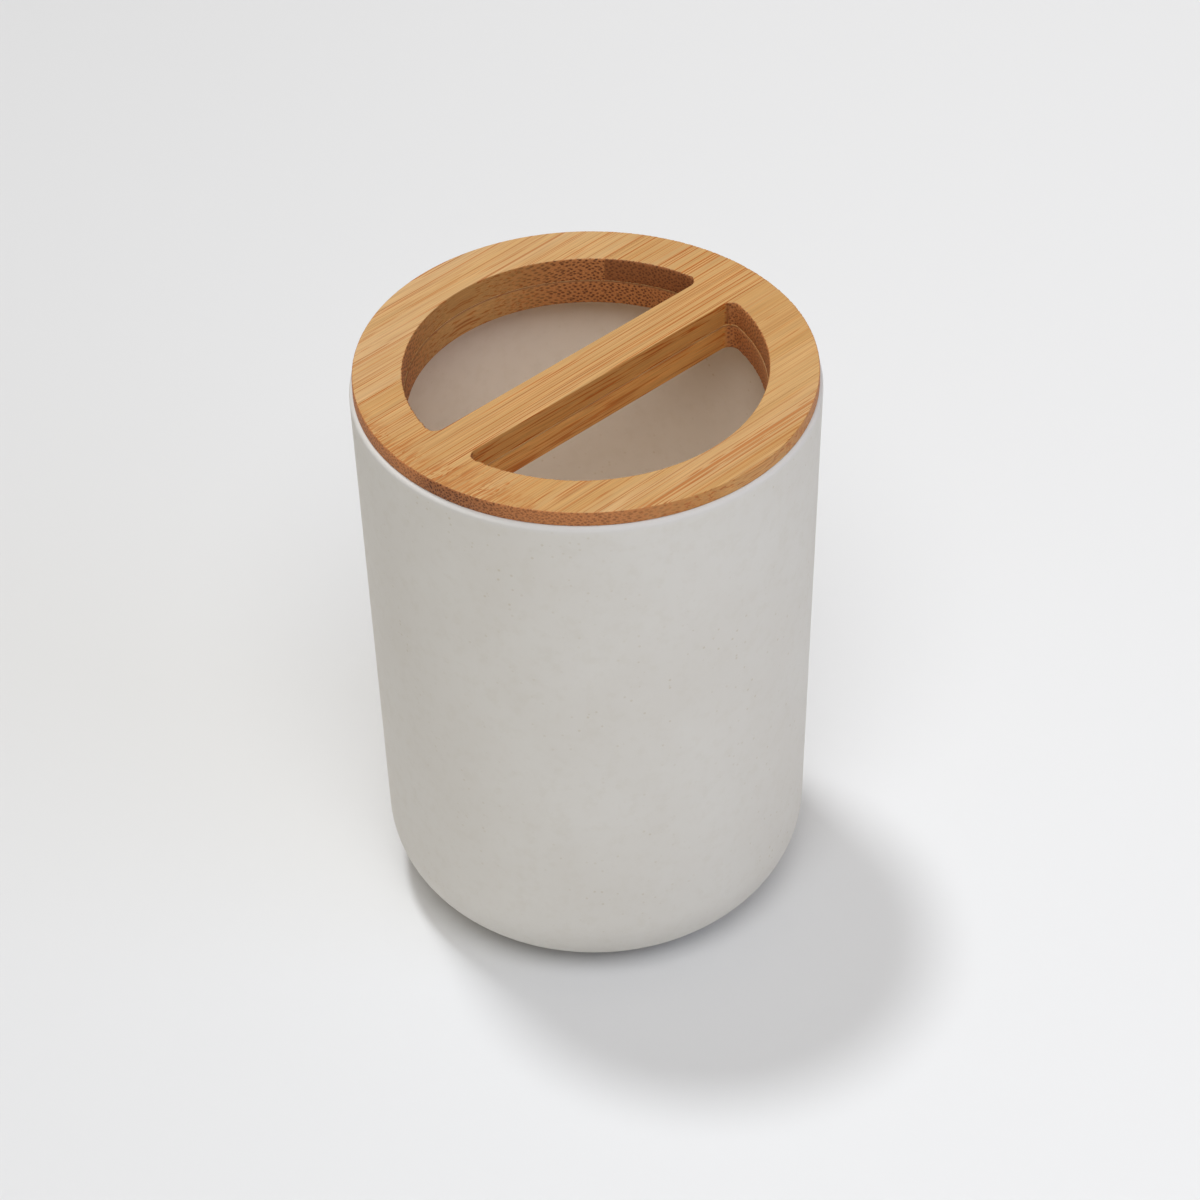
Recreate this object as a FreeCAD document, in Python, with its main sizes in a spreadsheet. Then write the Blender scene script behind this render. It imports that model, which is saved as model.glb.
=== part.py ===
import FreeCAD, Part
import math
import os

import Sketcher

# A pen holder cup: a cast cup with a drafted wall and a well-rounded base, and a bamboo lid
# that drops into the mouth on a stepped edge. The lid has two D-shaped openings with a
# straight bar between them. It is glued up from two plies of flat bamboo strips and then
# milled as one board, so every strip is a piece of the milled board.
#
# Frame: the origin is the middle of the base, on the surface the cup stands on. +Z is up,
# the bar of the lid runs along X, +Y is the rear. Lengths are millimetres.

DIMENSIONS = (
    # alias, value, what it is
    ("rim_radius", 37.5, "outside of the cup at the rim"),
    ("rim_height", 101.3, "height of the rim, where the lid rests"),
    ("base_radius", 35.4, "outside wall carried straight down to the base"),
    ("base_round", 14.0, "radius between the outside wall and the base"),
    ("wall", 4.0, "thickness of the cup's wall"),
    ("floor_level", 5.0, "height of the cup's floor inside"),
    ("floor_round", 10.0, "radius between the inside wall and the floor"),
    ("rim_round_outer", 0.9, "rounding of the rim's outer edge"),
    ("rim_round_inner", 0.8, "rounding of the rim's inner edge"),
    ("foot_radius", 17.5, "inside of the foot ring"),
    ("foot_recess", 1.0, "depth of the hollow inside the foot ring"),
    ("foot_round", 0.45, "rounding of the foot ring's inner edges"),
    ("lid_radius", 36.9, "outside of the lid's flange"),
    ("flange", 2.6, "how far the lid stands above the rim"),
    ("upper_ply", 4.25, "thickness of the upper ply"),
    ("lower_ply", 4.35, "thickness of the lower ply"),
    ("plug_gap", 0.4, "radial play between the lid's plug and the mouth"),
    ("opening_radius", 28.9, "round side of each opening, about the lid's middle"),
    ("bar_half_width", 3.68, "half the width of the bar between the openings"),
    ("opening_corner", 1.7, "corner radius of the openings"),
    ("ply_ledge", 0.3, "how far the lower ply stands proud inside the openings"),
    ("edge_break", 0.2, "small chamfer along the milled board's edges"),
    ("plug_lead_in", 0.6, "chamfer at the bottom of the plug"),
    ("strip_width", 23.0, "width of one bamboo strip"),
    ("strip_length", 80.0, "length of the strips before the board is milled"),
    ("upper_joint", 18.4, "rearmost glue joint of the upper ply, at the lid's middle"),
    ("lower_joint", 11.5, "rearmost glue joint of the lower ply, at the lid's middle"),
    ("grain_angle", 1.15, "degrees between the bar and the grain"),
)

# Heights and radii that follow from the cells above.
MOUTH_RADIUS = "Size.rim_radius - Size.wall"
FLOOR_RADIUS = "Size.base_radius - Size.wall"
LID_TOP = "Size.rim_height + Size.flange"
PLY_JOINT = LID_TOP + " - Size.upper_ply"
LID_BOTTOM = PLY_JOINT + " - Size.lower_ply"
PLUG_RADIUS = MOUTH_RADIUS + " - Size.plug_gap"

TOLERANCE = 1e-4

doc = FreeCAD.newDocument("PenHolderCup")


def make_sheet():
    """The driving dimensions, one row each: what it is, then its value under its alias."""
    sheet = doc.addObject("Spreadsheet::Sheet", "Size")
    for row, (alias, value, meaning) in enumerate(DIMENSIONS, start=1):
        sheet.set("A%d" % row, meaning)
        sheet.set("B%d" % row, str(value))
        sheet.setAlias("B%d" % row, alias)
    doc.recompute()
    return sheet


sheet = make_sheet()


def value_of(expression):
    """The number that an expression over the sheet gives."""
    return float(sheet.evalExpression(expression))


def origin_plane(body, role):
    for feature in body.Origin.OriginFeatures:
        if feature.Role == role:
            return feature
    raise LookupError(role)


def new_sketch(body, name, role):
    sketch = body.newObject("Sketcher::SketchObject", name)
    sketch.AttachmentSupport = [(origin_plane(body, role), "")]
    sketch.MapMode = "FlatFace"
    return sketch


def constrain(sketch, name, expression, *arguments):
    """Adds one named dimension to a sketch and binds it to the sheet."""
    index = sketch.addConstraint(Sketcher.Constraint(*arguments, value_of(expression)))
    sketch.renameConstraint(index, name)
    sketch.setExpression("Constraints." + name, expression)


def turned_body(name, corners):
    """A body of revolution about Z. Each corner of its half section is a pair of
    expressions, radius and height. The first and the last corner lie on the axis."""
    body = doc.addObject("PartDesign::Body", name)
    sketch = new_sketch(body, name + "_section", "XZ_Plane")
    points = [FreeCAD.Vector(value_of(r), value_of(z), 0) for r, z in corners]
    count = len(points)
    for index in range(count):
        line = Part.LineSegment(points[index], points[(index + 1) % count])
        sketch.addGeometry(line, False)
    for index in range(count):
        following = (index + 1) % count
        sketch.addConstraint(Sketcher.Constraint("Coincident", index, 2, following, 1))
    for index, (radius, height) in enumerate(corners):
        if radius == "0":
            sketch.addConstraint(Sketcher.Constraint("PointOnObject", index, 1, -2))
        else:
            constrain(sketch, "radius_%d" % index, radius, "DistanceX", -1, 1, index, 1)
        if height == "0":
            sketch.addConstraint(Sketcher.Constraint("PointOnObject", index, 1, -1))
        else:
            constrain(sketch, "height_%d" % index, height, "DistanceY", -1, 1, index, 1)
    turned = body.newObject("PartDesign::Revolution", name + "_turned")
    turned.Profile = sketch
    turned.ReferenceAxis = (sketch, ["V_Axis"])
    turned.Angle = 360
    doc.recompute()
    return body


def soften(body, kind, expression, chosen):
    """Fillets or chamfers the edges of the body's tip that chosen(edge) accepts."""
    base = body.Tip
    edges = base.Shape.Edges
    names = ["Edge%d" % number for number, edge in enumerate(edges, start=1) if chosen(edge)]
    if not names:
        raise LookupError("no edge to soften on " + body.Label)
    feature = body.newObject("PartDesign::" + kind, body.Name + "_" + kind.lower())
    feature.Base = (base, names)
    size = "Radius" if kind == "Fillet" else "Size"
    feature.setExpression(size, expression)
    doc.recompute()


def is_ring(radius, height):
    """Accepts a whole circle about Z of the given radius and height."""
    r = value_of(radius)
    z = value_of(height)

    def accepts(edge):
        curve = edge.Curve
        if not isinstance(curve, Part.Circle):
            return False
        on_axis = math.hypot(curve.Center.x, curve.Center.y) < TOLERANCE
        right_size = abs(curve.Radius - r) < TOLERANCE
        return on_axis and right_size and abs(curve.Center.z - z) < TOLERANCE

    return accepts


def any_of(*tests):
    return lambda edge: any(test(edge) for test in tests)


def make_cup():
    """The cup: its section turned about Z, then its edges rounded."""
    cup = turned_body(
        "cup_body",
        (
            ("0", "Size.foot_recess"),
            ("Size.foot_radius", "Size.foot_recess"),
            ("Size.foot_radius", "0"),
            ("Size.base_radius", "0"),
            ("Size.rim_radius", "Size.rim_height"),
            (MOUTH_RADIUS, "Size.rim_height"),
            (FLOOR_RADIUS, "Size.floor_level"),
            ("0", "Size.floor_level"),
        ),
    )
    soften(cup, "Fillet", "Size.base_round", is_ring("Size.base_radius", "0"))
    soften(cup, "Fillet", "Size.floor_round", is_ring(FLOOR_RADIUS, "Size.floor_level"))
    soften(cup, "Fillet", "Size.rim_round_outer", is_ring("Size.rim_radius", "Size.rim_height"))
    soften(cup, "Fillet", "Size.rim_round_inner", is_ring(MOUTH_RADIUS, "Size.rim_height"))
    foot_edge = is_ring("Size.foot_radius", "0")
    foot_corner = is_ring("Size.foot_radius", "Size.foot_recess")
    soften(cup, "Fillet", "Size.foot_round", any_of(foot_edge, foot_corner))
    return cup


def cut_openings(ply, radius, bar):
    """Two D-shaped holes right through a ply, one each side of the bar, corners rounded."""
    r = value_of(radius)
    b = value_of(bar)
    half_chord = math.sqrt(r * r - b * b)
    sketch = new_sketch(ply, ply.Name + "_openings", "XY_Plane")
    start_angle = math.asin(b / r)
    circle = Part.Circle(FreeCAD.Vector(0, 0, 0), FreeCAD.Vector(0, 0, 1), r)
    for side in (1, -1):
        name = "rear" if side > 0 else "front"
        first = start_angle if side > 0 else math.pi + start_angle
        last = first + math.pi - 2 * start_angle
        arc = sketch.addGeometry(Part.ArcOfCircle(circle, first, last), False)
        chord_start = FreeCAD.Vector(-side * half_chord, side * b, 0)
        chord_end = FreeCAD.Vector(side * half_chord, side * b, 0)
        chord = sketch.addGeometry(Part.LineSegment(chord_start, chord_end), False)
        sketch.addConstraint(Sketcher.Constraint("Coincident", arc, 3, -1, 1))
        sketch.addConstraint(Sketcher.Constraint("Coincident", arc, 2, chord, 1))
        sketch.addConstraint(Sketcher.Constraint("Coincident", chord, 2, arc, 1))
        sketch.addConstraint(Sketcher.Constraint("Horizontal", chord))
        constrain(sketch, name + "_radius", radius, "Radius", arc)
        low, high = ((-1, 1), (chord, 1)) if side > 0 else ((chord, 1), (-1, 1))
        constrain(sketch, name + "_bar", bar, "DistanceY", *low, *high)
    whole = ply.Shape.Volume
    pocket = ply.newObject("PartDesign::Pocket", ply.Name + "_pocket")
    pocket.Profile = sketch
    pocket.Type = "ThroughAll"
    pocket.Reversed = True
    doc.recompute()
    if ply.Shape.Volume > 0.9 * whole:
        raise RuntimeError("the openings were not cut in " + ply.Label)

    def is_corner(edge):
        if not isinstance(edge.Curve, Part.Line):
            return False
        upright = abs(edge.Curve.Direction.z) > 0.99
        return upright and abs(abs(edge.CenterOfMass.y) - b) < TOLERANCE

    soften(ply, "Fillet", "Size.opening_corner", is_corner)


def is_opening_edge(height):
    """Accepts the edges of the openings that lie flat at the given height."""
    z = value_of(height)
    r = value_of("Size.opening_radius")

    def accepts(edge):
        box = edge.BoundBox
        flat = abs(box.ZMin - z) < TOLERANCE and abs(box.ZMax - z) < TOLERANCE
        middle = edge.valueAt(0.5 * (edge.FirstParameter + edge.LastParameter))
        return flat and math.hypot(middle.x, middle.y) < r + 1.0

    return accepts


def make_upper_ply():
    """The upper ply of the milled board: the flange, and the top of the plug under it."""
    ply = turned_body(
        "upper_board",
        (
            ("0", PLY_JOINT),
            (PLUG_RADIUS, PLY_JOINT),
            (PLUG_RADIUS, "Size.rim_height"),
            ("Size.lid_radius", "Size.rim_height"),
            ("Size.lid_radius", LID_TOP),
            ("0", LID_TOP),
        ),
    )
    cut_openings(ply, "Size.opening_radius", "Size.bar_half_width")
    top_edge = is_ring("Size.lid_radius", LID_TOP)
    under_edge = is_ring("Size.lid_radius", "Size.rim_height")
    soften(ply, "Chamfer", "Size.edge_break", any_of(top_edge, under_edge, is_opening_edge(LID_TOP)))
    return ply


def make_lower_ply():
    """The lower ply of the milled board: the bottom of the plug."""
    ply = turned_body(
        "lower_board",
        (
            ("0", LID_BOTTOM),
            (PLUG_RADIUS, LID_BOTTOM),
            (PLUG_RADIUS, PLY_JOINT),
            ("0", PLY_JOINT),
        ),
    )
    radius = "Size.opening_radius - Size.ply_ledge"
    bar = "Size.bar_half_width + Size.ply_ledge"
    cut_openings(ply, radius, bar)
    soften(ply, "Chamfer", "Size.edge_break", is_opening_edge(LID_BOTTOM))
    soften(ply, "Chamfer", "Size.plug_lead_in", is_ring(PLUG_RADIUS, LID_BOTTOM))
    return ply


def make_strip(label, board, bottom, thickness, front, share=(0, 1)):
    """One strip of a board: what the board and the strip's blank have in common. front is
    where the blank's front edge crosses the lid's middle, and share is the stretch of the
    blank's length that the strip takes. The blank lies along the grain."""
    blank = doc.addObject("Part::Box", label + "_blank")
    length = "Size.strip_length * %g" % (share[1] - share[0])
    start = "(Size.strip_length * %g)" % (share[0] - 0.5)
    blank.setExpression("Length", length)
    blank.setExpression("Width", "Size.strip_width")
    blank.setExpression("Height", thickness)
    blank.Placement.Rotation = FreeCAD.Rotation(FreeCAD.Vector(0, 0, 1), value_of("Size.grain_angle"))
    along, across = "cos(Size.grain_angle)", "sin(Size.grain_angle)"
    blank.setExpression("Placement.Rotation.Angle", "Size.grain_angle")
    blank.setExpression("Placement.Base.x", "%s * %s - (%s) * %s" % (start, along, front, across))
    blank.setExpression("Placement.Base.y", "%s * %s + (%s) * %s" % (start, across, front, along))
    blank.setExpression("Placement.Base.z", bottom)
    strip = doc.addObject("Part::Common", label)
    strip.Base = board
    strip.Tool = blank
    return strip


def make_strips(board, bottom, thickness, rear_joint, layout):
    """The strips of one ply. layout gives each strip's label, how many strip widths its
    front edge lies in front of the rearmost joint, and its share of the blank's length."""
    strips = []
    for label, widths, share in layout:
        front = "%s - Size.strip_width * %d" % (rear_joint, widths)
        strips.append(make_strip(label, board, bottom, thickness, front, share))
    doc.recompute()
    total = sum(strip.Shape.Volume for strip in strips)
    if abs(total - board.Shape.Volume) > 0.5:
        raise RuntimeError("the strips do not add up to " + board.Label)
    return strips


UPPER_LAYOUT = (
    ("upper_strip_rear", 0, (0, 1)),
    ("upper_strip_centre", 1, (0, 1)),
    ("upper_strip_front_left", 2, (0, 0.5)),
    ("upper_strip_front_right", 2, (0.5, 1)),
    ("upper_strip_front", 3, (0, 1)),
)
LOWER_LAYOUT = (
    ("lower_strip_rear", 0, (0, 1)),
    ("lower_strip_centre", 1, (0, 1)),
    ("lower_strip_front", 2, (0, 1)),
)

cup = make_cup()
upper_board = make_upper_ply()
lower_board = make_lower_ply()
subparts = [cup]
subparts += make_strips(upper_board, PLY_JOINT, "Size.upper_ply", "Size.upper_joint", UPPER_LAYOUT)
subparts += make_strips(lower_board, LID_BOTTOM, "Size.lower_ply", "Size.lower_joint", LOWER_LAYOUT)
doc.recompute()

for item in doc.Objects:
    if "Invalid" in item.State or "Error" in item.State:
        raise RuntimeError("failed: %s %s" % (item.Label, item.State))
for subpart in subparts:
    shape = subpart.Shape
    if shape.isNull() or not shape.isValid() or len(shape.Solids) != 1:
        raise RuntimeError("not one valid solid: " + subpart.Label)

os.makedirs("parts", exist_ok=True)
for subpart in subparts:
    subpart.Shape.exportStep("parts/%s.step" % subpart.Label)
    print("%-26s %9.1f mm3" % (subpart.Label, subpart.Shape.Volume))
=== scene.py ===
import math

import bmesh
import bpy
from mathutils import Matrix, Vector, noise


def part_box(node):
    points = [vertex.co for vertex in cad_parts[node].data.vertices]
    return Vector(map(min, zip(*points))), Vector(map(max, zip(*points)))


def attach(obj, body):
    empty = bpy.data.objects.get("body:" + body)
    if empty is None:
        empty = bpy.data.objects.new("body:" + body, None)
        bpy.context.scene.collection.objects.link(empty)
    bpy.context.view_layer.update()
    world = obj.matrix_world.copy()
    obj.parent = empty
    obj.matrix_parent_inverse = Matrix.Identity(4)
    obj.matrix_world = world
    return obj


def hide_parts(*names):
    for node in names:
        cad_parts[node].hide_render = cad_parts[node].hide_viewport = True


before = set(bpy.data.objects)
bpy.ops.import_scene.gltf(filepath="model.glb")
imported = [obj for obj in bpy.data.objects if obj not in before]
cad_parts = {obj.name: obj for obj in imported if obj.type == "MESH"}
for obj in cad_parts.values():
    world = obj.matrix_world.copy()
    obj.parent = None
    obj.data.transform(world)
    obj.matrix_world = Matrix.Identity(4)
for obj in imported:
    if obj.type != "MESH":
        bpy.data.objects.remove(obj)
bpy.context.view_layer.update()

# The looks of a pen holder cup: a matte cast cup, and a bamboo lid glued up from two plies of
# flat strips. Lengths are metres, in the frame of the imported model: +Z up, the bar of the lid
# along X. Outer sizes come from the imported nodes.

MM = 0.001

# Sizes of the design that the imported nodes' boxes don't give.
WALL = 4.0 * MM
FLOOR_LEVEL = 5.0 * MM
FLOOR_ROUND = 10.0 * MM
BASE_ROUND = 14.0 * MM
BASE_SHRINK = 0.056
RIM_ROUND_OUTER = 0.9 * MM
RIM_ROUND_INNER = 0.8 * MM
FOOT_RADIUS = 17.5 * MM
FOOT_RECESS = 1.0 * MM
FOOT_ROUND = 0.45 * MM

OPENING_RADIUS = 28.9 * MM
BAR_HALF_WIDTH = 3.68 * MM
OPENING_CORNER = 1.7 * MM
PLY_LEDGE = 0.3 * MM
STRIP_WIDTH = 23.0 * MM
UPPER_JOINT = 18.4 * MM
LOWER_JOINT = 11.5 * MM
GRAIN_ANGLE = math.radians(1.15)
FLANGE_UNDER_ROUND = 0.2 * MM
PLUG_LEAD_IN = 0.6 * MM

# Fine detail of the wood: worn edges, open glue lines, and how far apart its bundles are.
TOP_ROUND = 0.16 * MM
SUPPORT = 0.12 * MM
GLUE_BREAK = 0.05 * MM
GLUE_GAP = 0.03 * MM
FRAY = 0.44 * MM
FRAY_PITCH = 0.30 * MM
FRAY_DEPTH = 0.45 * MM
OUTER_FRAY = 0.5
BUNDLE_PITCH = 0.47 * MM
PORE_PITCH = 0.55 * MM

RIM_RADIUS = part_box("cup_body")[1].x
RIM_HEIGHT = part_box("cup_body")[1].z
LID_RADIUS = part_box("upper_strip_centre")[1].x
LID_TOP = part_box("upper_strip_centre")[1].z
PLY_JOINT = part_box("upper_strip_centre")[0].z
PLUG_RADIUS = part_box("lower_strip_centre")[1].x
LID_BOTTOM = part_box("lower_strip_centre")[0].z

GRAIN = Vector((math.cos(GRAIN_ANGLE), math.sin(GRAIN_ANGLE)))
ACROSS = Vector((-math.sin(GRAIN_ANGLE), math.cos(GRAIN_ANGLE)))

# The main camera's right, and the way it looks, along the floor.
FRAME_RIGHT = (0.739, -0.674, 0.0)
FRAME_AWAY = (0.674, 0.739, 0.0)

CUP_SEGMENTS = 288
OUTER_STEPS = 1600
ARC_STEPS = 620
CORNER_STEPS = 10
BAR_STEPS = 90
EDGE_STEPS = 5


# ---------------------------------------------------------------- mesh helpers

def arc(centre, radius, start, end, steps):
    """Points along an arc in a plane, both ends included, angles in degrees."""
    points = []
    for step in range(steps + 1):
        angle = math.radians(start + (end - start) * step / steps)
        points.append((centre[0] + radius * math.cos(angle), centre[1] + radius * math.sin(angle)))
    return points


def straight(start, end, steps):
    """Points along a line, without its two ends."""
    points = []
    for step in range(1, steps):
        share = step / steps
        points.append((start[0] + (end[0] - start[0]) * share, start[1] + (end[1] - start[1]) * share))
    return points


def finish_mesh(bm, name, smooth_angle=32):
    """Makes an object of a bmesh: faces smooth, edges sharper than the angle kept sharp."""
    bmesh.ops.recalc_face_normals(bm, faces=bm.faces)
    mesh = bpy.data.meshes.new(name)
    bm.to_mesh(mesh)
    bm.free()
    mesh.shade_smooth()
    mesh.set_sharp_from_angle(angle=math.radians(smooth_angle))
    piece = bpy.data.objects.new(name, mesh)
    bpy.context.scene.collection.objects.link(piece)
    return piece


def bridge(bm, lower, upper):
    """Quads between two closed rings of the same count."""
    count = len(lower)
    for index in range(count):
        following = (index + 1) % count
        bm.faces.new((lower[index], lower[following], upper[following], upper[index]))


# ---------------------------------------------------------------- the cup

def cup_profile():
    """Half section of the cup as (radius, height), from the middle of the floor inside, over
    the rim and down the outside to the middle of the base."""
    lean = math.degrees(math.atan(BASE_SHRINK * RIM_RADIUS / RIM_HEIGHT))
    slope = math.tan(math.radians(lean))
    base_radius = RIM_RADIUS * (1 - BASE_SHRINK)
    mouth_radius = RIM_RADIUS - WALL
    floor_radius = base_radius - WALL
    inner_slope = (mouth_radius - floor_radius) / (RIM_HEIGHT - FLOOR_LEVEL)
    inner_lean = math.degrees(math.atan(inner_slope))

    def corner_offset(radius, angle):
        return radius / math.cos(math.radians(angle)) - radius * math.tan(math.radians(angle))

    points = [(0.0, FLOOR_LEVEL)]
    centre_z = FLOOR_LEVEL + FLOOR_ROUND
    centre_r = floor_radius + inner_slope * FLOOR_ROUND - FLOOR_ROUND / math.cos(math.radians(inner_lean))
    points += straight(points[0], (centre_r, FLOOR_LEVEL), 12)
    points += arc((centre_r, centre_z), FLOOR_ROUND, -90, -inner_lean, 16)
    top_z = RIM_HEIGHT - RIM_ROUND_INNER
    top_r = mouth_radius - inner_slope * RIM_ROUND_INNER + corner_offset(RIM_ROUND_INNER, inner_lean)
    inner_end = (top_r - RIM_ROUND_INNER * math.cos(math.radians(inner_lean)), top_z)
    points += straight(points[-1], inner_end, 36)
    points += arc((top_r, top_z), RIM_ROUND_INNER, 180 - inner_lean, 90, 8)
    rim_z = RIM_HEIGHT - RIM_ROUND_OUTER
    rim_r = RIM_RADIUS - slope * RIM_ROUND_OUTER - RIM_ROUND_OUTER / math.cos(math.radians(lean))
    points += straight(points[-1], (rim_r, RIM_HEIGHT), 4)
    points += arc((rim_r, rim_z), RIM_ROUND_OUTER, 90, -lean, 10)
    base_r = base_radius + slope * BASE_ROUND - BASE_ROUND / math.cos(math.radians(lean))
    base_arc = arc((base_r, BASE_ROUND), BASE_ROUND, -lean, -90, 28)
    points += straight(points[-1], base_arc[0], 48)
    points += base_arc
    foot = (FOOT_RADIUS + FOOT_ROUND, FOOT_ROUND)
    points += straight(points[-1], (foot[0], 0.0), 5)
    points += arc(foot, FOOT_ROUND, 270, 180, 5)
    hollow = (FOOT_RADIUS - FOOT_ROUND, FOOT_RECESS - FOOT_ROUND)
    points += arc(hollow, FOOT_ROUND, 0, 90, 5)
    points += straight(points[-1], (0.0, FOOT_RECESS), 8)
    points.append((0.0, FOOT_RECESS))
    return points


def make_cup():
    """The cup turned from its section. Its ends on the axis close in a fan."""
    bm = bmesh.new()
    rings = []
    for radius, height in cup_profile():
        if radius < 1e-7:
            rings.append([bm.verts.new((0, 0, height))])
            continue
        ring = []
        for segment in range(CUP_SEGMENTS):
            angle = 2 * math.pi * segment / CUP_SEGMENTS
            ring.append(bm.verts.new((radius * math.cos(angle), radius * math.sin(angle), height)))
        rings.append(ring)
    for lower, upper in zip(rings, rings[1:]):
        if len(lower) == 1 or len(upper) == 1:
            tip, ring = (lower[0], upper) if len(lower) == 1 else (upper[0], lower)
            for index in range(CUP_SEGMENTS):
                bm.faces.new((tip, ring[index], ring[(index + 1) % CUP_SEGMENTS]))
        else:
            bridge(bm, lower, upper)
    return finish_mesh(bm, "cup_shell")


# ---------------------------------------------------------------- the lid

def frayed(x, y, normal, weight):
    """Moves a point of the outline into the wood where the fibres end at the edge."""
    endness = abs(normal.dot(GRAIN))
    if weight == 0 or endness < 0.05:
        return x, y
    along = Vector((x, y)).dot(ACROSS) / FRAY_PITCH
    side = 10.0 if x > 0 else -10.0
    coarse = noise.noise(Vector((along, side, 3.7)))
    fine = noise.noise(Vector((3 * along, side, 9.1)))
    roughness = 0.5 + 0.5 * coarse + 0.3 * fine
    depth = FRAY * weight * endness ** 2 * max(roughness, 0.0)
    return x + normal.x * depth, y + normal.y * depth


def outer_ring(radius, weight):
    """The board's round outline."""
    points = []
    for step in range(OUTER_STEPS):
        angle = 2 * math.pi * step / OUTER_STEPS
        inward = Vector((-math.cos(angle), -math.sin(angle)))
        points.append(frayed(radius * math.cos(angle), radius * math.sin(angle), inward, weight))
    return points


def opening_ring(side, radius, bar, growth, weight):
    """The outline of one D-shaped opening, grown into the wood by growth. side is 1 for the
    rear opening and -1 for the front one."""
    r = radius + growth
    b = bar - growth
    corner = OPENING_CORNER + growth
    centre_y = b + corner
    centre_x = math.sqrt((r - corner) ** 2 - centre_y ** 2)
    turn = math.degrees(math.atan2(centre_y, centre_x))
    outline = arc((centre_x, centre_y), corner, -90, turn, CORNER_STEPS)[:-1]
    outline += arc((0, 0), r, turn, 180 - turn, ARC_STEPS)[:-1]
    outline += arc((-centre_x, centre_y), corner, 180 - turn, 270, CORNER_STEPS)
    outline += straight((-centre_x, b), (centre_x, b), BAR_STEPS)
    points = []
    for x, y in outline:
        if y > centre_y:
            normal = Vector((x, y)).normalized()
        else:
            normal = Vector((0, -1))
        if abs(x) > centre_x and y <= centre_y + corner:
            offset = Vector((abs(x) - centre_x, y - centre_y))
            normal = Vector((math.copysign(offset.x, x), offset.y)).normalized()
        points.append(frayed(x, side * y, Vector((normal.x, side * normal.y)), weight))
    return points


def rounded_edge(radius, steps=EDGE_STEPS):
    """(set back, rise) pairs of a quarter-round edge, from the wall to the flat."""
    pairs = []
    for step in range(steps + 1):
        angle = math.pi / 2 * step / steps
        pairs.append((radius * (1 - math.cos(angle)), radius * math.sin(angle)))
    return pairs


def board_mesh(outer_levels, opening_levels, opening_radius, bar):
    """A closed board. outer_levels are (height, radius, fray) and opening_levels (height,
    growth, fray), both from the bottom up."""
    bm = bmesh.new()

    def ring(points, height):
        return [bm.verts.new((x, y, height)) for x, y in points]

    stacks = [[ring(outer_ring(radius, fray), height) for height, radius, fray in outer_levels]]
    for side in (1, -1):
        stacks.append([ring(opening_ring(side, opening_radius, bar, growth, fray), height)
                       for height, growth, fray in opening_levels])
    for stack in stacks:
        for lower, upper in zip(stack, stack[1:]):
            bridge(bm, lower, upper)
    for level in (0, -1):
        edges = []
        for stack in stacks:
            loop = stack[level]
            edges += [bm.edges.get((loop[i - 1], loop[i])) for i in range(len(loop))]
        bmesh.ops.triangle_fill(bm, use_beauty=True, use_dissolve=False, edges=edges)
    return bm


def upper_board():
    """The upper ply: flange, step and the top of the plug, with softened edges."""
    outer = [(PLY_JOINT, PLUG_RADIUS, 0), (RIM_HEIGHT, PLUG_RADIUS, 0)]
    for back, rise in reversed(rounded_edge(FLANGE_UNDER_ROUND, 3)):
        outer.append((RIM_HEIGHT + FLANGE_UNDER_ROUND - rise, LID_RADIUS - back, 0))
    outer.append((LID_TOP - FRAY_DEPTH, LID_RADIUS, 0))
    openings = [(PLY_JOINT, GLUE_BREAK, 0), (PLY_JOINT + GLUE_BREAK, 0, 0)]
    openings.append((LID_TOP - FRAY_DEPTH, 0, 0))
    for back, rise in rounded_edge(TOP_ROUND):
        height = LID_TOP - TOP_ROUND + rise
        fray = (height - LID_TOP + FRAY_DEPTH) / FRAY_DEPTH
        outer.append((height, LID_RADIUS - back, fray * OUTER_FRAY))
        openings.append((height, back, fray))
    outer.append((LID_TOP, LID_RADIUS - TOP_ROUND - SUPPORT, OUTER_FRAY))
    openings.append((LID_TOP, TOP_ROUND + SUPPORT, 1))
    return board_mesh(outer, openings, OPENING_RADIUS, BAR_HALF_WIDTH)


def lower_board():
    """The lower ply: the bottom of the plug, standing a little proud in the openings."""
    outer = [(LID_BOTTOM, PLUG_RADIUS - PLUG_LEAD_IN - SUPPORT, 0)]
    outer += [(LID_BOTTOM, PLUG_RADIUS - PLUG_LEAD_IN, 0), (LID_BOTTOM + PLUG_LEAD_IN, PLUG_RADIUS, 0)]
    outer.append((PLY_JOINT, PLUG_RADIUS, 0))
    openings = [(LID_BOTTOM, TOP_ROUND + SUPPORT, 0.5)]
    for back, rise in reversed(rounded_edge(TOP_ROUND)):
        openings.append((LID_BOTTOM + TOP_ROUND - rise, back, 0.5))
    for back, rise in rounded_edge(PLY_LEDGE - GLUE_BREAK):
        openings.append((PLY_JOINT - PLY_LEDGE + GLUE_BREAK + rise, back, 0))
    return board_mesh(outer, openings, OPENING_RADIUS - PLY_LEDGE, BAR_HALF_WIDTH + PLY_LEDGE)


def keep_between(bm, front, rear):
    """Cuts a board down to the strip between two glue joints, and closes the cuts."""
    normal = Vector((ACROSS.x, ACROSS.y, 0))
    for place, direction in ((front + GLUE_GAP / 2, -1), (rear - GLUE_GAP / 2, 1)):
        geometry = bm.verts[:] + bm.edges[:] + bm.faces[:]
        bmesh.ops.bisect_plane(bm, geom=geometry, dist=1e-7, plane_co=normal * place,
                               plane_no=normal * direction, clear_outer=True)
        cut = [edge for edge in bm.edges if edge.is_boundary]
        if cut:
            bmesh.ops.holes_fill(bm, edges=cut, sides=0)


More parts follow.
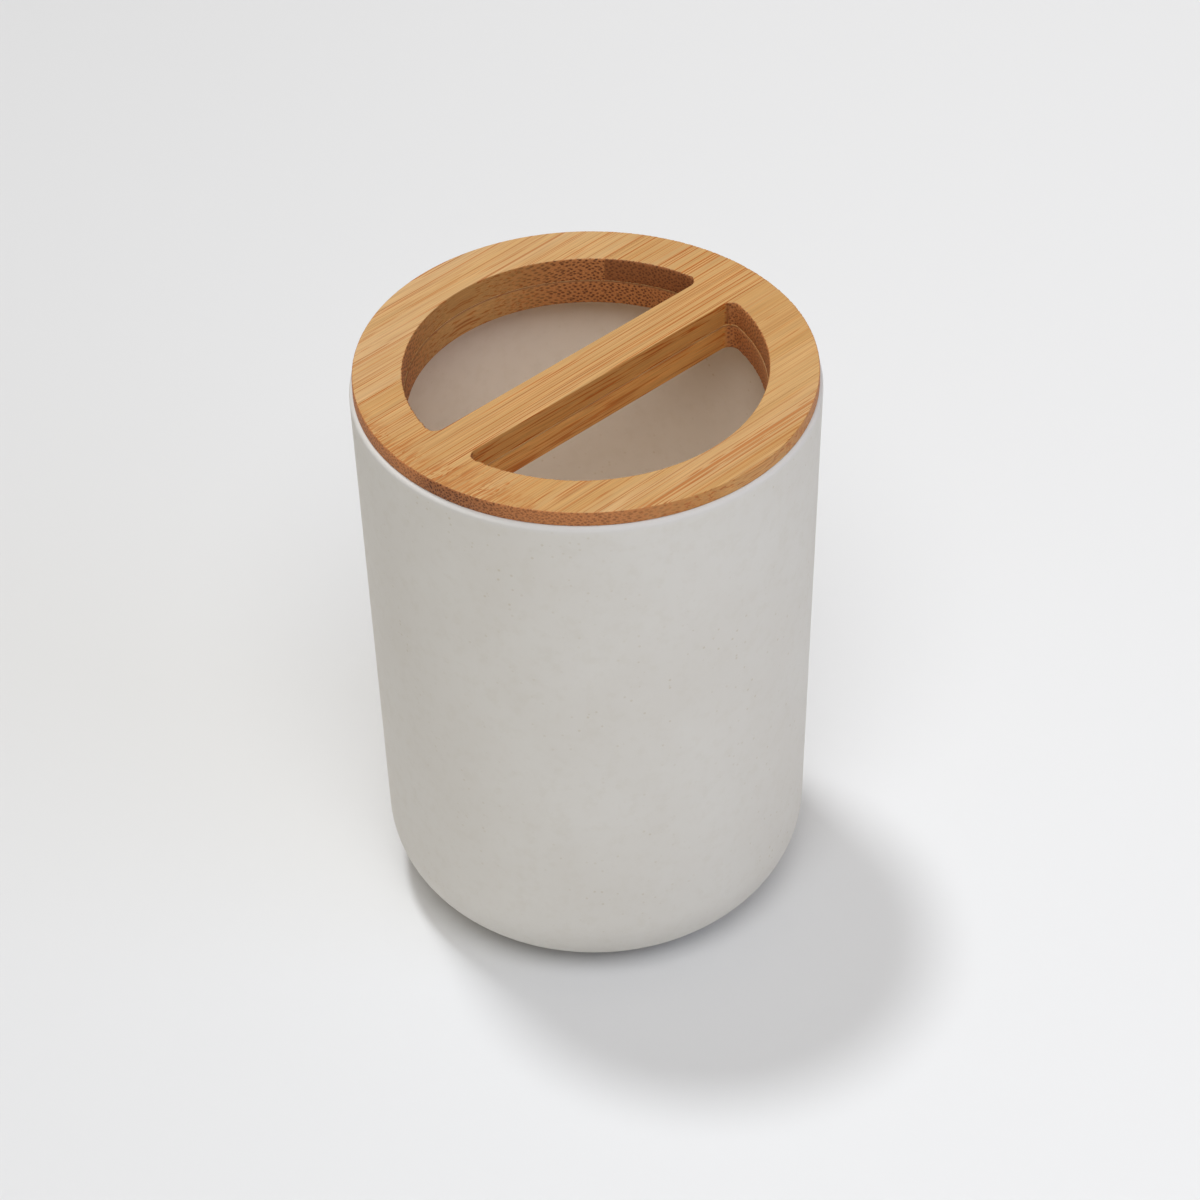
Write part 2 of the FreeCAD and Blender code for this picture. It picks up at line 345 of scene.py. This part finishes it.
def make_strip(board, name, front, rear, half=0):
    """One strip of a board. half keeps the part on that side of the middle: -1 left, 1 right."""
    bm = board.copy()
    keep_between(bm, front, rear)
    if half:
        away = [vert for vert in bm.verts if vert.co.x * half < 0]
        bmesh.ops.delete(bm, geom=away, context="VERTS")
    return finish_mesh(bm, name)


# ---------------------------------------------------------------- material helpers

def add(tree, kind, inputs=None, **settings):
    """A node with its settings made and its inputs set or linked."""
    node = tree.nodes.new(kind)
    for key, value in settings.items():
        setattr(node, key, value)
    for key, value in (inputs or {}).items():
        if isinstance(value, bpy.types.NodeSocket):
            tree.links.new(value, node.inputs[key])
        else:
            node.inputs[key].default_value = value
    return node


def calc(tree, operation, a, b=0.0, c=0.0, clamp=False):
    node = add(tree, "ShaderNodeMath", {0: a, 1: b, 2: c}, operation=operation, use_clamp=clamp)
    return node.outputs[0]


def product(tree, first, *factors):
    for factor in factors:
        first = calc(tree, "MULTIPLY", first, factor)
    return first


def gap(tree, value, place):
    """How far value is from place, either way."""
    return calc(tree, "ABSOLUTE", calc(tree, "SUBTRACT", value, place))


def vector_calc(tree, operation, a, b):
    return add(tree, "ShaderNodeVectorMath", {0: a, 1: b}, operation=operation).outputs[0]


def measure(tree, operation, a, b=(0.0, 0.0, 0.0)):
    """A vector operation whose result is one number."""
    return add(tree, "ShaderNodeVectorMath", {0: a, 1: b}, operation=operation).outputs["Value"]


def turned(tree, vector, angle):
    """A vector turned about Z."""
    node = add(tree, "ShaderNodeVectorRotate", {"Vector": vector, "Angle": angle},
               rotation_type="Z_AXIS")
    return node.outputs[0]


def split(tree, vector):
    """The X, Y and Z of a vector."""
    return add(tree, "ShaderNodeSeparateXYZ", {0: vector}).outputs


def plane_vector(tree, x, y):
    return add(tree, "ShaderNodeCombineXYZ", {0: x, 1: y}).outputs[0]


def ramp(tree, value, low, high, to_low=0.0, to_high=1.0):
    """A smooth step from to_low to to_high as value goes from low to high."""
    inputs = {"Value": value, "From Min": low, "From Max": high, "To Min": to_low, "To Max": to_high}
    node = add(tree, "ShaderNodeMapRange", inputs, interpolation_type="SMOOTHSTEP")
    return node.outputs["Result"]


def blend_colour(tree, factor, a, b, kind="MIX"):
    node = add(tree, "ShaderNodeMix", {0: factor, 6: a, 7: b}, data_type="RGBA", blend_type=kind)
    return node.outputs[2]


def noise_value(tree, place, stretch, detail=2.0, roughness=0.5, output="Fac"):
    """Noise with so many lumps per metre along each axis."""
    vector = vector_calc(tree, "MULTIPLY", place, stretch)
    inputs = {"Vector": vector, "Scale": 1.0, "Detail": detail, "Roughness": roughness}
    return add(tree, "ShaderNodeTexNoise", inputs).outputs[output]


def sway(tree, place, stretch, reach):
    """A noise vector about zero, as long as reach along each axis."""
    vector = noise_value(tree, place, stretch, 1.0, 0.5, "Color")
    return vector_calc(tree, "MULTIPLY", vector_calc(tree, "SUBTRACT", vector, (0.5, 0.5, 0.5)), reach)


def dots(tree, section, pitch, randomness):
    """Scattered dots in a plane: how far a point is from its dot, and the dot's random colour."""
    cells = add(tree, "ShaderNodeTexVoronoi",
                {"Vector": section, "Scale": 1 / pitch, "Randomness": randomness},
                voronoi_dimensions="2D")
    chances = add(tree, "ShaderNodeSeparateColor", {0: cells.outputs["Color"]})
    return cells.outputs["Distance"], chances.outputs


def srgb(red, green, blue):
    """An 8-bit colour as the linear colour that nodes take."""
    def linear(channel):
        share = channel / 255
        return share / 12.92 if share <= 0.04045 else ((share + 0.055) / 1.055) ** 2.4
    return (linear(red), linear(green), linear(blue), 1.0)


def new_material(name):
    material = bpy.data.materials.new(name)
    material.use_nodes = True
    tree = material.node_tree
    tree.nodes.clear()
    output = add(tree, "ShaderNodeOutputMaterial")
    shader = add(tree, "ShaderNodeBsdfPrincipled")
    tree.links.new(shader.outputs[0], output.inputs["Surface"])
    return material, tree, shader


def finish_shader(tree, shader, colour, roughness, height, strength, depth, specular):
    """Wires a colour, a roughness and a bump of the given depth into a shader."""
    bump = add(tree, "ShaderNodeBump", {"Strength": strength, "Distance": depth, "Height": height})
    tree.links.new(colour, shader.inputs["Base Color"])
    tree.links.new(roughness, shader.inputs["Roughness"])
    tree.links.new(bump.outputs[0], shader.inputs["Normal"])
    shader.inputs["Specular IOR Level"].default_value = specular


# ---------------------------------------------------------------- bamboo

PALE_WOOD = srgb(205, 165, 115)
WARM_WOOD = srgb(202, 159, 103)
DEEP_WOOD = srgb(195, 148, 88)
STREAK = srgb(174, 98, 32)
KNOT_PATCH = srgb(180, 122, 62)
SAWN_LIGHT = srgb(208, 139, 83)
SAWN_DEEP = srgb(181, 113, 61)
PORE = srgb(104, 58, 30)
# Painted shade for the ledge on top of the lower ply.
LEDGE_SHADE = srgb(124, 77, 41)

# Lumps of noise per metre along the grain, across it and through the thickness.
FINE_GRAIN = (60.0, 5600.0, 5600.0)
BROAD_GRAIN = (16.0, 260.0, 140.0)
LINE_GRAIN = (8.0, 3900.0, 2600.0)
KNOT_GRAIN = (210.0, 2300.0, 1800.0)
KNOT_TWIST = (330.0, 420.0, 300.0)
WEAVE_ACROSS = 160.0


def wood_axes(tree, seed):
    """The point and the surface's normal in axes turned along the grain, and the point moved
    to a piece of wood of its own."""
    place = add(tree, "ShaderNodeTexCoord")
    grain = turned(tree, place.outputs["Object"], -GRAIN_ANGLE)
    normal = turned(tree, place.outputs["Normal"], -GRAIN_ANGLE)
    shifted = vector_calc(tree, "ADD", grain, (0.137 * seed, 0.071 * seed, 0.0213 * seed))
    return grain, normal, shifted


def fibre_section(tree, shifted, run, wander, near_knot):
    """Where a point is in the section of the bundles, which weave and twist near a knot."""
    weave = sway(tree, shifted, (1 / run, WEAVE_ACROSS, WEAVE_ACROSS),
                 (0.0, 0.7 * MM * wander, 1.7 * MM * wander))
    if near_knot is not None:
        twist = sway(tree, shifted, KNOT_TWIST, (0.0, 1.3 * MM, 3.2 * MM))
        scaled = add(tree, "ShaderNodeVectorMath", {0: twist, "Scale": near_knot}, operation="SCALE")
        weave = vector_calc(tree, "ADD", weave, scaled.outputs[0])
    fibre = split(tree, vector_calc(tree, "ADD", shifted, weave))
    return plane_vector(tree, fibre[1], fibre[2])


def bundle_streaks(tree, section, along, upright):
    """The bundles that run along a surface: each one's core, and how bold it is there."""
    distance, chances = dots(tree, section, BUNDLE_PITCH, 0.8)
    core = ramp(tree, distance, 0.12, 0.32, 1.0, 0.0)
    fade_at = plane_vector(tree, product(tree, along, 70.0), product(tree, chances[1], 50.0))
    fade = noise_value(tree, fade_at, (1.0, 1.0, 1.0), 1.0)
    fade = ramp(tree, fade, 0.32, 0.62, 0.15, 1.0)
    chance = calc(tree, "ADD", calc(tree, "POWER", chances[0], 2.2), 0.10)
    bold = product(tree, core, fade, chance, ramp(tree, upright, 0.0, 1.0, 1.0, 0.5))
    return core, bold


def long_grain(tree, shifted, bold, near_knot, fine, broad, light, deep, streaks):
    """The colour of a surface along the grain: ground, streaks, fine lines and knot dashes."""
    colour = blend_colour(tree, ramp(tree, broad, 0.3, 0.7), light, deep)
    line = ramp(tree, noise_value(tree, shifted, LINE_GRAIN), 0.555, 0.62)
    streak = calc(tree, "MULTIPLY", bold, 1.1 * streaks, clamp=True)
    streak = calc(tree, "MAXIMUM", streak, product(tree, line, 0.75 * streaks))
    if near_knot is not None:
        dashes = noise_value(tree, shifted, KNOT_GRAIN, 1.0)
        dash = product(tree, ramp(tree, dashes, 0.48, 0.58, 0.0, 0.7), near_knot)
        streak = calc(tree, "MAXIMUM", streak, dash)
    colour = blend_colour(tree, streak, colour, STREAK)
    if near_knot is not None:
        patch = product(tree, near_knot, ramp(tree, broad, 0.35, 0.65, 0.0, 0.25))
        colour = blend_colour(tree, patch, colour, KNOT_PATCH)
    tone = ramp(tree, fine, 0.28, 0.72, 0.84, 1.13)
    grey = add(tree, "ShaderNodeCombineColor", {0: tone, 1: tone, 2: tone}).outputs[0]
    return blend_colour(tree, 1.0, colour, grey, "MULTIPLY")


def sawn_ends(tree, section, parts, radius, fine, end_tone, pore_depth, dark_side):
    """The colour where the fibres are cut: pores in a pinker ground. They are faint on the
    lid's outer edge, apart from the stretch beside the joint in dark_side."""
    distance, chances = dots(tree, turned(tree, section, 0.7), PORE_PITCH, 0.6)
    pore = ramp(tree, distance, 0.14, 0.46, 1.0, 0.0)
    outward = ramp(tree, radius, OPENING_RADIUS + 1.0 * MM, LID_RADIUS - 1.0 * MM)
    dark = 0.0
    if dark_side is not None:
        joint, reach = dark_side
        dark = ramp(tree, gap(tree, parts[1], joint), 0.0, reach, 1.0, 0.0)
    faint = product(tree, outward, calc(tree, "SUBTRACT", 1.0, dark))
    pores = product(tree, pore, ramp(tree, chances[1], 0.0, 0.6, 0.65, 1.0),
                    calc(tree, "MULTIPLY_ADD", faint, -0.45, 1.0),
                    ramp(tree, outward, 0.0, 1.0, pore_depth, 1.0))
    ground = blend_colour(tree, ramp(tree, fine, 0.3, 0.7), SAWN_LIGHT, SAWN_DEEP)
    colour = blend_colour(tree, pores, ground, PORE)
    opening_shade = (end_tone, end_tone ** 1.2, end_tone ** 1.3, 1.0)
    edge_shade = blend_colour(tree, dark, (0.96, 0.94, 0.94, 1.0), (0.66, 0.60, 0.58, 1.0))
    shade = blend_colour(tree, outward, opening_shade, edge_shade)
    return blend_colour(tree, 1.0, colour, shade, "MULTIPLY")


def ply_ledge(tree, height, radius):
    """The ledge on top of the lower ply: how much a point is on it, and how much painted shade
    darkens it there, more on the arcs than near the middle, so that the ledge, which faces up,
    doesn't read as a bright lit line."""
    ledge = ramp(tree, gap(tree, height, PLY_JOINT), 0.1 * PLY_LEDGE, 0.9 * PLY_LEDGE, 1.0, 0.0)
    ledge = product(tree, ledge, calc(tree, "LESS_THAN", height, PLY_JOINT))
    share = ramp(tree, radius, 0.7 * OPENING_RADIUS, OPENING_RADIUS, 0.5, 0.85)
    return ledge, product(tree, ledge, share)


def bamboo(name, seed, light, deep, streaks=1.0, wander=1.0, run=16 * MM, end_tone=1.0,
           pore_depth=1.0, painted_wall_light=1.0, dark_side=None, knot=None):
    """Sanded and oiled bamboo. Its fibre bundles run along the grain through the whole
    thickness: dots where they end at a surface, streaks where they run along it. light and
    deep are the two ends of the ground colour, streaks how bold the bundles are, run how long
    one stays at the surface, wander how much it weaves, end_tone how light the sawn ends in
    the openings are, pore_depth how strongly the bundles show there, painted_wall_light how far painted
    light lightens or darkens the long walls, which are also painted warmer as if lit by light
    bounced off the wood, dark_side the joint and the distance over which the outer end
    darkens, and knot the place of a growth node along the grain."""
    material, tree, shader = new_material(name)
    grain, normal, shifted = wood_axes(tree, seed)
    parts = split(tree, grain)
    facing = split(tree, normal)
    endness = ramp(tree, calc(tree, "ABSOLUTE", facing[0]), 0.12, 0.7)
    upright = ramp(tree, calc(tree, "ABSOLUTE", facing[2]), 0.35, 0.85, 1.0, 0.0)
    radius = measure(tree, "LENGTH", vector_calc(tree, "MULTIPLY", grain, (1.0, 1.0, 0.0)))
    near_knot = None
    if knot is not None:
        near_knot = ramp(tree, gap(tree, parts[0], knot), 1.5 * MM, 5.5 * MM, 1.0, 0.0)
    fine = noise_value(tree, shifted, FINE_GRAIN, 3.0, 0.65)
    broad = noise_value(tree, shifted, BROAD_GRAIN, 2.0, 0.55)
    section = fibre_section(tree, shifted, run, wander, near_knot)
    core, bold = bundle_streaks(tree, section, parts[0], upright)

    colour = long_grain(tree, shifted, bold, near_knot, fine, broad, light, deep, streaks)
    # Painted light and shade: the long walls are lightened or darkened and painted warmer, as if lit by
    # light bounced off the wood.
    painted_wall_tint = (painted_wall_light, 0.83 * painted_wall_light, 0.59 * painted_wall_light, 1.0)
    colour = blend_colour(tree, upright, colour, painted_wall_tint, "MULTIPLY")
    ends = sawn_ends(tree, section, parts, radius, fine, end_tone, pore_depth, dark_side)
    colour = blend_colour(tree, endness, colour, ends)
    ledge, ledge_shade = ply_ledge(tree, parts[2], radius)
    # Painted shade on the ledge of the lower ply, which faces up and catches the light.
    colour = blend_colour(tree, ledge_shade, colour, LEDGE_SHADE)

    roughness = ramp(tree, fine, 0.2, 0.8, 0.50, 0.62)
    roughness = calc(tree, "ADD", roughness, product(tree, endness, 0.12))
    roughness = calc(tree, "MAXIMUM", roughness, ledge)
    height = calc(tree, "SUBTRACT", product(tree, fine, 0.4), product(tree, core, 0.6))
    finish_shader(tree, shader, colour, roughness, height, 0.5, 0.03 * MM, 0.35)
    return material


# ---------------------------------------------------------------- ceramic and floor

CAST_LIGHT = srgb(224, 220, 212)
CAST_DEEP = srgb(220, 215, 206)
CAST_MOTTLE = srgb(214, 208, 196)
CAST_SPECK = srgb(190, 176, 146)
# Painted highlight for the band along the top of the rim.
CAST_RIM_HIGHLIGHT = srgb(224, 221, 217)
# Painted light: how much lighter and warmer the inside of the cup is made.
INSIDE_PAINTED_LIGHT = (1.31, 1.23, 1.165, 1)


def inner_wall(tree, place, normal, level):
    """How much a point is on the inside of the cup: its wall and floor, up to the rim."""
    inward = vector_calc(tree, "MULTIPLY", place, (-1.0, -1.0, 0.0))
    turned_in = measure(tree, "DOT_PRODUCT", inward, normal)
    turned_up = split(tree, normal)[2]
    inside = ramp(tree, calc(tree, "MULTIPLY_ADD", turned_up, WALL, turned_in), 0.0, 0.5 * WALL)
    low, high = RIM_HEIGHT - 1.5 * RIM_ROUND_INNER, RIM_HEIGHT - 0.3 * RIM_ROUND_INNER
    above_foot = calc(tree, "GREATER_THAN", level, 0.5 * FLOOR_LEVEL)
    return product(tree, inside, ramp(tree, level, low, high, 1.0, 0.0), above_foot)


def ceramic():
    """Matte off-white cast body: faint cloudiness and sparse fine specks. A painted highlight
    lightens the top of the rim, and painted light makes the inside lighter and creamier,
    standing in for warm light bounced in from the bamboo."""
    material, tree, shader = new_material("cast_ceramic")
    coordinates = add(tree, "ShaderNodeTexCoord")
    place = coordinates.outputs["Object"]
    level = split(tree, place)[2]
    cloud = noise_value(tree, place, (38.0, 38.0, 30.0), 4.0, 0.6)
    mottle = noise_value(tree, place, (420.0, 420.0, 420.0), 3.0, 0.6)
    grit = noise_value(tree, place, (1700.0, 1700.0, 1700.0), 2.0, 0.6)
    specks = add(tree, "ShaderNodeTexVoronoi", {"Vector": place, "Scale": 1100.0, "Randomness": 1.0},
                 voronoi_dimensions="3D")
    chance = add(tree, "ShaderNodeSeparateColor", {0: specks.outputs["Color"]}).outputs[0]
    spot = ramp(tree, specks.outputs["Distance"], 0.14, 0.34, 1.0, 0.0)
    spot = product(tree, spot, ramp(tree, chance, 0.84, 0.90), ramp(tree, cloud, 0.42, 0.62, 0.15, 1.0))

    colour = blend_colour(tree, ramp(tree, cloud, 0.3, 0.7), CAST_LIGHT, CAST_DEEP)
    colour = blend_colour(tree, ramp(tree, mottle, 0.45, 0.75, 0.0, 0.35), colour, CAST_MOTTLE)
    colour = blend_colour(tree, product(tree, spot, 0.4), colour, CAST_SPECK)
    # Painted highlight: the colour lightens towards the top of the rim.
    rim = ramp(tree, level, RIM_HEIGHT - 1.8 * RIM_ROUND_OUTER, RIM_HEIGHT)
    colour = blend_colour(tree, rim, colour, CAST_RIM_HIGHLIGHT)
    # Painted light: the inside is lightened and warmed, standing in for light bounced in from the bamboo.
    inside = inner_wall(tree, place, coordinates.outputs["Normal"], level)
    colour = blend_colour(tree, inside, colour, INSIDE_PAINTED_LIGHT, "MULTIPLY")

    roughness = ramp(tree, grit, 0.2, 0.8, 0.52, 0.66)
    height = calc(tree, "ADD", product(tree, grit, 0.5), product(tree, spot, -0.4))
    finish_shader(tree, shader, colour, roughness, height, 0.35, 0.02 * MM, 0.4)
    return material


def floor_with_painted_falloff():
    """Pale, nearly even floor with painted shade: a little darker towards the main camera's left,
    standing in for light falling off.
    """
    material, tree, shader = new_material("pale_floor_painted_falloff")
    place = add(tree, "ShaderNodeTexCoord").outputs["Object"]
    cloud = noise_value(tree, place, (3.0, 3.0, 3.0))
    # Painted shade: the floor darkens towards the main camera's left, as if the light fell off there.
    sideways = measure(tree, "DOT_PRODUCT", place, FRAME_RIGHT)
    share = ramp(tree, calc(tree, "ADD", sideways, product(tree, cloud, 0.02)), -0.20, 0.14)
    colour = blend_colour(tree, share, (0.717, 0.717, 0.717, 1), (0.808, 0.808, 0.808, 1))
    tree.links.new(colour, shader.inputs["Base Color"])
    shader.inputs["Roughness"].default_value = 0.9
    shader.inputs["Specular IOR Level"].default_value = 0.1
    return material


# ---------------------------------------------------------------- building the object

def place_piece(piece, material, body, node):
    piece.data.materials.append(material)
    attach(piece, body)
    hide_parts(node)


def place_strip(board, node, front, half, seed, light, deep, looks):
    """Cuts one strip from its board and gives it a bamboo of its own."""
    piece = make_strip(board, node + "_wood", front, front + STRIP_WIDTH, half)
    material = bamboo(node + "_bamboo", seed, light, deep, **looks)
    place_piece(piece, material, "lid", node)


def build_upper_ply():
    joints = [UPPER_JOINT - STRIP_WIDTH * index for index in range(4)]
    centre = {"run": 40 * MM, "wander": 0.6, "streaks": 1.3, "end_tone": 0.62, "pore_depth": 0.7,
              "painted_wall_light": 1.16, "dark_side": (joints[1], 6 * MM), "knot": -36.5 * MM}
    front_left = {"dark_side": (joints[1], 19 * MM), "knot": -33.5 * MM}
    front_right = {"streaks": 0.55, "end_tone": 0.92, "pore_depth": 0.7}
    board = upper_board()
    # Node, its front joint, which half it is, seed, light and deep ground colour, other looks.
    for node, front, half, seed, light, deep, looks in (
        ("upper_strip_rear", joints[0], 0, 1, PALE_WOOD, WARM_WOOD, {"streaks": 0.9, "painted_wall_light": 0.92}),
        ("upper_strip_centre", joints[1], 0, 2, WARM_WOOD, DEEP_WOOD, centre),
        ("upper_strip_front_left", joints[2], -1, 3, WARM_WOOD, DEEP_WOOD, front_left),
        ("upper_strip_front_right", joints[2], 1, 4, WARM_WOOD, DEEP_WOOD, front_right),
        ("upper_strip_front", joints[3], 0, 5, PALE_WOOD, DEEP_WOOD, {}),
    ):
        place_strip(board, node, front, half, seed, light, deep, looks)
    board.free()


def build_lower_ply():
    joints = [LOWER_JOINT - STRIP_WIDTH * index for index in range(3)]
    centre = {"painted_wall_light": 1.33, "pore_depth": 0.75}
    board = lower_board()
    for node, front, seed, light, deep, looks in (
        ("lower_strip_rear", joints[0], 6, PALE_WOOD, WARM_WOOD, {"painted_wall_light": 0.95}),
        ("lower_strip_centre", joints[1], 7, WARM_WOOD, DEEP_WOOD, centre),
        ("lower_strip_front", joints[2], 8, PALE_WOOD, DEEP_WOOD, {"pore_depth": 0.6}),
    ):
        place_strip(board, node, front, 0, seed, light, deep, looks)
    board.free()


# ---------------------------------------------------------------- stage

FLOOR_HALF = 4.0
SKY_NEAR = (0.160, 0.160, 0.160, 1)
SKY_AWAY = (0.426, 0.379, 0.316, 1)
KEY_DIRECTION = Vector((0.024, 0.291, 1.0)).normalized()
KEY_DISTANCE = 4.0


def build_floor():
    bm = bmesh.new()
    corners = ((-1, -1), (1, -1), (1, 1), (-1, 1))
    bm.faces.new([bm.verts.new((x * FLOOR_HALF, y * FLOOR_HALF, 0.0)) for x, y in corners])
    floor = finish_mesh(bm, "floor")
    floor.data.materials.append(floor_with_painted_falloff())


def build_world():
    """A dim studio, brighter and warmer behind the object."""
    world = bpy.data.worlds.new("studio")
    world.use_nodes = True
    tree = world.node_tree
    direction = add(tree, "ShaderNodeTexCoord").outputs["Generated"]
    away = measure(tree, "DOT_PRODUCT", direction, FRAME_AWAY)
    share = add(tree, "ShaderNodeMapRange", {"Value": away, "From Min": -1.0}).outputs["Result"]
    sky = blend_colour(tree, share, SKY_NEAR, SKY_AWAY)
    tree.links.new(sky, tree.nodes["Background"].inputs["Color"])
    bpy.context.scene.world = world


def area_light(name, place, width, watts, colour):
    """A disc light that faces the middle of the cup."""
    data = bpy.data.lights.new(name, "AREA")
    data.shape = "DISK"
    data.size = width
    data.energy = watts
    data.color = colour
    light = bpy.data.objects.new(name, data)
    bpy.context.scene.collection.objects.link(light)
    light.location = place
    light.rotation_mode = "QUATERNION"
    middle = Vector((0, 0, RIM_HEIGHT / 2))
    light.rotation_quaternion = (middle - Vector(place)).to_track_quat("-Z", "Y")


def build_lights():
    area_light("key", KEY_DIRECTION * KEY_DISTANCE, 0.55, 62.7, (0.974, 1.0, 1.034))
    high_place = Vector(FRAME_AWAY) * -1.033 + Vector((0, 0, 1.942))
    area_light("high_fill", high_place, 1.4, 21.7, (0.983, 1.0, 1.013))
    area_light("side_fill", (0.5, -1.4, 0.9), 1.4, 4.0, (0.86, 1.0, 1.37))


def build_camera():
    """The photograph's view: the camera stands at an angle and distance from the cup's axis."""
    data = bpy.data.cameras.new("camera")
    data.lens = 111.0
    data.sensor_width = 36.0
    camera = bpy.data.objects.new("camera", data)
    bpy.context.scene.collection.objects.link(camera)
    stand = math.radians(42.375)
    distance, eye_height = 0.46733, 0.45403
    bearing, pitch, roll = math.radians(42.547), math.radians(40.478), math.radians(-1.322)
    place = (-distance * math.sin(stand), -distance * math.cos(stand), eye_height)
    aim = Matrix.Rotation(-bearing, 4, "Z") @ Matrix.Rotation(math.pi / 2 - pitch, 4, "X")
    camera.matrix_world = Matrix.Translation(place) @ aim @ Matrix.Rotation(roll, 4, "Z")
    bpy.context.scene.camera = camera
    bpy.context.scene.view_settings.view_transform = "Standard"


place_piece(make_cup(), ceramic(), "cup", "cup_body")
build_upper_ply()
build_lower_ply()
build_floor()
build_world()
build_lights()
build_camera()
